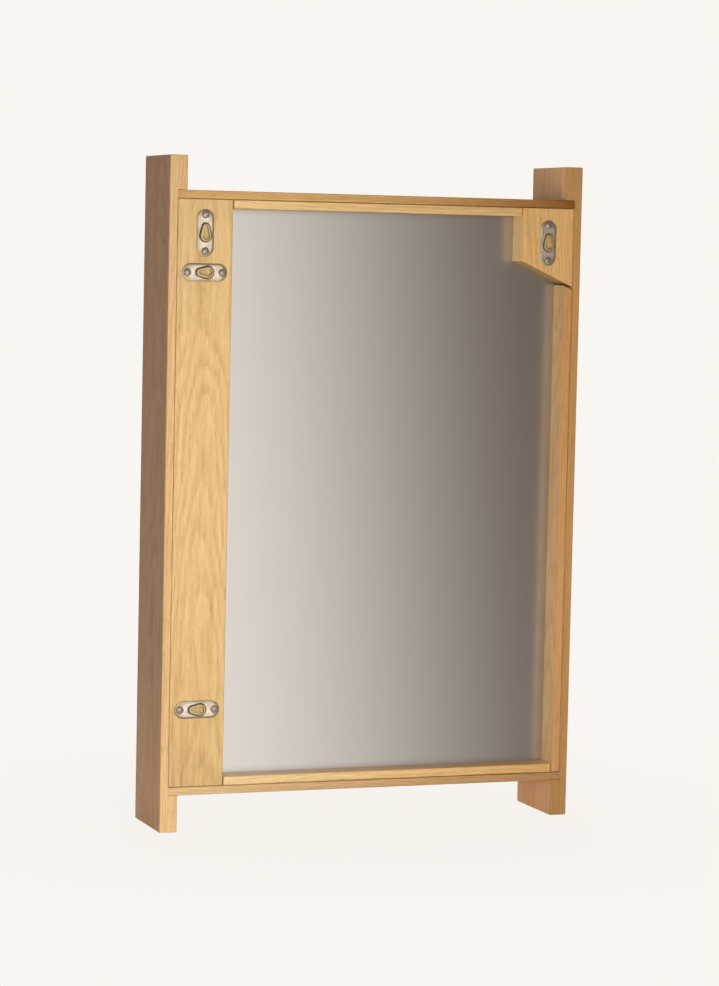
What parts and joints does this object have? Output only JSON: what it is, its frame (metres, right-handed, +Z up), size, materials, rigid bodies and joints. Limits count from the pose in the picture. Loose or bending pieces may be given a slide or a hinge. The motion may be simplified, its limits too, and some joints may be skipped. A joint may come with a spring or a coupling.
{
  "type": "shutter mirror",
  "caption": "Deep oak box-frame wall mirror: glass set between housed rails, the lower one a shelf, with keyhole hanger plates on the back for hanging upright or on its side.",
  "frame": {"origin": "on the plane of the feet, under the middle of the outline", "axes": "+Z up along the stiles; the mirror faces -Y and the wall is at +Y; +X is to the right of a person looking into the mirror"},
  "size_m": [0.46, 0.094, 0.7],
  "materials": {
    "oak": "pale oiled oak, satin",
    "oak_rear": "pale oiled oak, satin",
    "mirror": "silvered glass",
    "backing": "satin grey sheet",
    "rubber": "matt black",
    "hanger_steel": "zinc-plated, pressed",
    "screw_steel": "dark plated"
  },
  "bodies": {
    "root": {"stile_left": "oak", "stile_right": "oak", "top_rail": "oak", "bottom_rail": "oak", "mirror_glass": "mirror", "backing_sheet": "backing", "glazing_tape_left": "rubber", "glazing_tape_right": "rubber", "setting_pad_left": "rubber", "setting_pad_right": "rubber", "hanger_board": "oak_rear", "corner_block": "oak_rear", "side_batten": "oak_rear", "top_batten": "oak_rear", "bottom_batten": "oak_rear", "hanger_plate_upright_left": "hanger_steel", "hanger_plate_upright_right": "hanger_steel", "hanger_plate_side_top": "hanger_steel", "hanger_plate_side_bottom": "hanger_steel", "hanger_screws": "screw_steel"}
  },
  "joints": []
}
